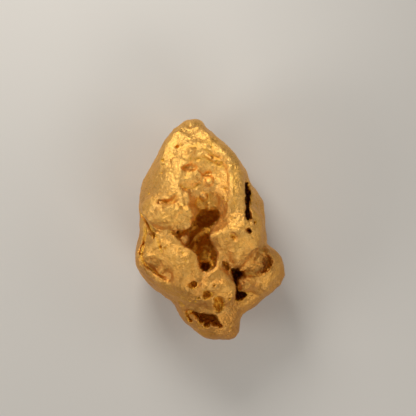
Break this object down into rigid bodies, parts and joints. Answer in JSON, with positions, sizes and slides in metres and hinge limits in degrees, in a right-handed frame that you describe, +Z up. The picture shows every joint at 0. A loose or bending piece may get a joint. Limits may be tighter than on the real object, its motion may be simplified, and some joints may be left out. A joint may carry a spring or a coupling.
{
  "type": "gold nugget",
  "caption": "Hollowed, folded native gold nugget with a pointed tip and round lobes, lying on its back on a worn flat.",
  "frame": {"origin": "under the middle of the bounding box, on the surface the nugget rests on", "axes": "+X across the nugget, +Y along it from the broad toe to the pointed tip, +Z up out of the hollowed face"},
  "size_m": [0.0122, 0.018, 0.0091],
  "materials": {
    "native_gold": "satin, finely hammered native gold, browner in the hollows"
  },
  "bodies": {
    "root": {"nugget": "native_gold"}
  },
  "joints": []
}
